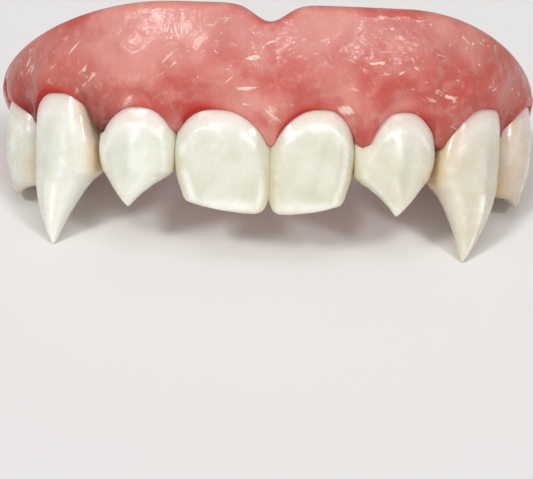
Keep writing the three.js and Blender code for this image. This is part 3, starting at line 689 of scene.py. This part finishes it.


# Pink denture acrylic, packed by hand and flame polished: mottled salmon, deep red along its edge over the
# teeth, a painted brown shade in the gum points, a painted sheen over the top of the middle, and a wet
# gloss whose few raised streaks catch the light, each with a short cream glint painted along it.
def gumAcrylic():
    material, tree = newMaterial("pinkDentureAcrylicFlamePolished")
    finish = gumFinish
    where = addNode(tree, "ShaderNodeTexCoord").outputs["Object"]
    broad = noise(tree, where, finish["broadSize"], 2.0)
    pale = noise(tree, where, finish["paleSize"], 5.0, 0.65)
    red = noise(tree, where, finish["redSize"], 4.0, 0.6, 0.3)
    x = addNode(tree, "ShaderNodeSeparateXYZ", {0: where}).outputs["X"]
    leftHalf = span(tree, x, *finish["halves"])
    rising = streak(tree, where, finish["rising"], 0.64, 0.73)
    falling = streak(tree, where, finish["falling"], 0.64, 0.73)
    level = streak(tree, where, finish["level"], 0.66, 0.75)
    diagonal = addNode(tree, "ShaderNodeMix", {0: leftHalf, 2: falling, 3: rising}).outputs[0]
    streaks = addNode(tree, "ShaderNodeMath", {0: diagonal, 1: level}, operation="MAXIMUM").outputs[0]
    cluster = noise(tree, where, finish["clusterSize"], 1.0)
    ridgesAndPaintedGlint = times(tree, streaks, span(tree, cluster, 0.4, 0.54))
    # painted glint: the streaks' cream colour, kept off the inside and weaker at the sides
    paintedGlint = times(tree, ridgesAndPaintedGlint, span(tree, attribute(tree, "inside"), 0.0, 0.2, 0.75, 0.0))
    paintedGlint = times(tree, paintedGlint, span(tree, attribute(tree, "sideways"), 0.5, 1.0, 1.0, 0.4))
    base = blend(tree, span(tree, broad, 0.35, 0.65), colour(finish["deep"]), colour(finish["light"]))
    layers = (
        ("pale", times(tree, span(tree, pale, 0.42, 0.7), 0.5)),
        ("red", times(tree, span(tree, red, 0.53, 0.7), 0.45)),
        # painted sheen over the top of the middle
        ("paintedTopSheen", times(tree, attribute(tree, "paintedTopSheen"), 0.45)),
        ("sideways", times(tree, attribute(tree, "sideways"), 0.7)),
        # painted cream glint on the raised streaks
        ("paintedGlint", paintedGlint),
        ("rim", attribute(tree, "rim")),
        # painted brown shade in the gum points
        ("papillaShade", attribute(tree, "papillaShade")),
    )
    for name, amount in layers:
        base = blend(tree, amount, base, colour(finish[name]))
    swells = noise(tree, where, finish["swellSize"], 5.0, 0.58, 0.4)
    wavy = bumped(tree, swells, 0.6, finish["swellHigh"])
    raised = bumped(tree, ridgesAndPaintedGlint, 1.0, finish["streakHigh"], wavy)
    rough = span(tree, attribute(tree, "inside"), 0, 1, 0.38, 0.45)
    shader = addNode(tree, "ShaderNodeBsdfPrincipled", {
        "Base Color": base, "Roughness": rough, "IOR": 1.49, "Specular IOR Level": 0.15,
        "Subsurface Weight": 0.15, "Subsurface Radius": (1.0, 0.35, 0.25), "Subsurface Scale": 0.0006,
        "Coat Weight": 0.5, "Coat Roughness": 0.06, "Coat IOR": 1.49, "Normal": wavy, "Coat Normal": raised,
    })
    finishMaterial(tree, shader)
    return material


# What all teeth share: colours, and the patterns' sizes and heights in millimetres. neck is the gum's pink
# showing through, frost the cloudy body near it, partly a painted sheen band there, margin a painted
# highlight on the ridge and margin of the face, and brown a painted shade in the contacts.
toothFinish = {
    "neck": "#D88F86", "frostAndSheen": "#F0E6DE", "margin": "#FAF9F4", "brown": "#6E4013", "cloudSize": 2.6,
    "fleckSize": 0.6, "fleckHigh": 0.02, "brokenSize": 1.9, "unevenSize": 1.6, "unevenHigh": 0.14,
    "wornSize": 0.9, "worn": (0.14, 0.4),
}
# Each tooth's colours: its body between two shades, its tip, the amber at its contacts, partly a painted
# shade, and how strong amber and the painted brown shade are there.
toothShades = {
    "premolar_left": {"body": "#D3D2C2", "pale": "#E0DFD4", "tip": "#B9A898", "amber": "#C9AC78",
                      "stainAndShade": 0.6, "brown": 0.4},
    "fang_left": {"body": "#DADCCB", "pale": "#E8E8DD", "tip": "#EEECE2", "amber": "#C9A060",
                  "stainAndShade": 0.75, "brown": 0.6},
    "lateral_incisor_left": {"body": "#DADCCB", "pale": "#E8E8DE", "tip": "#E5DAD0", "amber": "#C8B27E",
                             "stainAndShade": 0.6, "brown": 0.1},
    "central_incisor_left": {"body": "#D6D7C4", "pale": "#E2E2D3", "tip": "#EEEBDD", "amber": "#C6BA88",
                             "stainAndShade": 0.6, "brown": 0.0},
    "central_incisor_right": {"body": "#D5D4BF", "pale": "#E1E0D0", "tip": "#EDE8DA", "amber": "#C6BA88",
                              "stainAndShade": 0.65, "brown": 0.05},
    "lateral_incisor_right": {"body": "#D6D3BC", "pale": "#E1DECF", "tip": "#E4D9CA", "amber": "#C8B07C",
                              "stainAndShade": 0.65, "brown": 0.3},
    "fang_right": {"body": "#D6CDB7", "pale": "#DED7C5", "tip": "#DFD4C0", "amber": "#C9A060",
                   "stainAndShade": 0.85, "brown": 0.8},
    "premolar_right": {"body": "#CFC1AC", "pale": "#DACEBC", "tip": "#B09C86", "amber": "#C4A06A",
                       "stainAndShade": 0.8, "brown": 0.7},
}


# Layered ivory acrylic, pressed and glazed: a cream body clouded from within, with a painted sheen near the
# neck, pink at the neck, a painted highlight along its margin and ridge, paler at the tip, amber where it
# meets its neighbours, partly a painted shade there, deepening to a painted brown shade in the contacts,
# and an uneven glaze that breaks each light.
def toothAcrylic(name, shade):
    material, tree = newMaterial(f"ivoryToothAcrylicGlazed_{name}")
    finish = toothFinish
    where = addNode(tree, "ShaderNodeTexCoord").outputs["Object"]
    contact, drop = attribute(tree, "contact"), attribute(tree, "drop")
    cloud = noise(tree, where, finish["cloudSize"], 3.0)
    flecks = noise(tree, where, finish["fleckSize"], 3.0, 0.6)
    broken = span(tree, noise(tree, where, finish["brokenSize"], 2.0), 0.38, 0.6, 0.1, 0.95)
    # the cloudy body near the neck, partly a painted sheen band across it
    frostAndSheen = times(tree, span(tree, drop, 0.4, 0.02, 0.0, 0.7), span(tree, flecks, 0.3, 0.7, 0.5, 1.0))
    # amber near the contact planes, partly a painted shade between the teeth; the brown right at them is a
    # painted shade
    stainAndShade = times(tree, contact, span(tree, cloud, 0.2, 0.6, 0.6, 1.0))
    base = blend(tree, span(tree, cloud, 0.3, 0.7), colour(shade["body"]), colour(shade["pale"]))
    layers = (
        (finish["frostAndSheen"], frostAndSheen),
        (shade["tip"], span(tree, drop, 0.8, 1.0, 0.0, 0.7)),
        # painted highlight along the ridge and the margin of the face, broken by a noise
        (finish["margin"], times(tree, attribute(tree, "pale"), broken)),
        (finish["neck"], times(tree, attribute(tree, "neck"), 0.5)),
        (shade["amber"], times(tree, span(tree, stainAndShade, 0.05, 0.65), shade["stainAndShade"])),
        (finish["brown"], times(tree, span(tree, stainAndShade, 0.6, 1.0), shade["brown"])),
    )
    for code, amount in layers:
        base = blend(tree, amount, base, colour(code))
    uneven = bumped(tree, noise(tree, where, finish["unevenSize"], 2.0), 0.5, finish["unevenHigh"])
    grained = bumped(tree, flecks, 0.3, finish["fleckHigh"], uneven)
    worn = span(tree, noise(tree, where, finish["wornSize"], 4.0, 0.65), 0.35, 0.65, *finish["worn"])
    shader = addNode(tree, "ShaderNodeBsdfPrincipled", {
        "Base Color": base, "Roughness": worn, "IOR": 1.49, "Specular IOR Level": 0.45,
        "Subsurface Weight": 0.3, "Subsurface Radius": (1.0, 0.8, 0.55), "Subsurface Scale": 0.001,
        "Coat Weight": 0.3, "Coat Roughness": 0.22, "Coat IOR": 1.49, "Normal": grained,
        "Coat Normal": grained,
    })
    finishMaterial(tree, shader)
    return material


def standFor(piece, node):  # rides on the one body, in place of its node
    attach(piece, "root")
    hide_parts(node)


def buildTeeth():  # one closed mesh for each tooth
    for tooth in teeth:
        name = tooth["name"]
        points, shades = toothGrid(tooth)
        standFor(solidFrom(f"{name}_crown", points, shades, toothAcrylic(name, toothShades[name])), name)
    print("teeth built")


def buildGum():  # the base as one closed mesh
    points, shades = gumGrid()
    standFor(solidFrom("gum_acrylic", points, shades, gumAcrylic()), "gum_base")
    print("gum base built")


studio = {"floorSize": 3.0, "floorColour": "#F4F2EF", "worldColour": "#F4F5F7", "worldStrength": 0.32}
lights = (  # each is far off; angle is how wide it looks from the denture, in degrees
    {"name": "keyLeft", "azimuth": -42, "elevation": 46, "angle": 12, "power": 1.1},
    {"name": "keyRight", "azimuth": 40, "elevation": 42, "angle": 10, "power": 0.72},
    {"name": "overhead", "azimuth": 0, "elevation": 74, "angle": 40, "power": 0.5},
    {"name": "fill", "azimuth": 0, "elevation": 18, "angle": 80, "power": 0.55},
)
aimAt = np.array([0.0, 0.0, 0.011])


def lookFrom(position, forward, up):  # a turned and placed matrix whose -Z looks forward
    forward = forward / np.linalg.norm(forward)
    right = np.cross(forward, up)
    right /= np.linalg.norm(right)
    matrix = np.eye(4)
    matrix[:3] = np.stack([right, np.cross(right, forward), -forward, position], axis=1)
    return mathutils.Matrix(matrix.tolist())


# A flat square floor, four far soft lights round the front and an even pale world.
def buildStudio():
    half = studio["floorSize"] / 2
    mesh = bpy.data.meshes.new("floor")
    corners = [(-half, -half, 0), (half, -half, 0), (half, half, 0), (-half, half, 0)]
    mesh.from_pydata(corners, [], [(0, 1, 2, 3)])
    material, tree = newMaterial("matteStudioFloor")
    finishMaterial(tree, addNode(tree, "ShaderNodeBsdfPrincipled",
                                 {"Base Color": colour(studio["floorColour"]), "Roughness": 0.7}))
    mesh.materials.append(material)
    floor = bpy.data.objects.new("floor", mesh)
    bpy.context.collection.objects.link(floor)
    for row in lights:
        lamp = bpy.data.lights.new(row["name"], "SUN")
        lamp.angle = math.radians(row["angle"])
        lamp.energy = row["power"]
        holder = bpy.data.objects.new(row["name"], lamp)
        bpy.context.collection.objects.link(holder)
        around, above = math.radians(row["azimuth"]), math.radians(row["elevation"])
        level = math.cos(above)
        away = np.array([math.sin(around) * level, -math.cos(around) * level, math.sin(above)])
        holder.matrix_world = lookFrom(aimAt + away * 0.5, -away, np.array([0, 0, 1.0]))
    world = bpy.data.worlds.new("studio")
    world.use_nodes = True
    background = world.node_tree.nodes["Background"]
    background.inputs["Color"].default_value = colour(studio["worldColour"])
    background.inputs["Strength"].default_value = studio["worldStrength"]
    bpy.context.scene.world = world
    bpy.context.scene.view_settings.view_transform = "Standard"
    print("studio built")


# The photo looks level at the leaning denture from 220 mm in front of it, rolled a little, with the
# denture in the upper half of the frame: its middle stands 109.5 pixels above the frame's, at 2413 pixels
# to the radian.
shot = {"distance": 220.0, "height": 7.7, "focal": 2413.0, "width": 533.0, "above": 109.5, "roll": 1.98}


# The camera looks back into the mouth along the leaning denture, tipped down by pitch about its own side.
def buildCamera():
    data = bpy.data.cameras.new("camera")
    data.sensor_fit = "HORIZONTAL"
    data.sensor_width = 36.0
    data.lens = shot["focal"] / shot["width"] * data.sensor_width
    data.clip_start = 0.01
    camera = bpy.data.objects.new("camera", data)
    bpy.context.collection.objects.link(camera)
    roll, pitch = math.radians(shot["roll"]), math.atan(shot["above"] / shot["focal"])
    towards = turned(np.array([0.0, 1.0, 0.0]))
    upright = turned(np.array([-math.sin(roll), 0.0, math.cos(roll)]))
    forward = towards * math.cos(pitch) - upright * math.sin(pitch)
    position = toRow(np.array([0.0, -shot["distance"], shot["height"]]))
    camera.matrix_world = lookFrom(position, forward, upright)
    bpy.context.scene.camera = camera
    print("camera set")


buildCamera()
buildTeeth()
buildGum()
buildStudio()
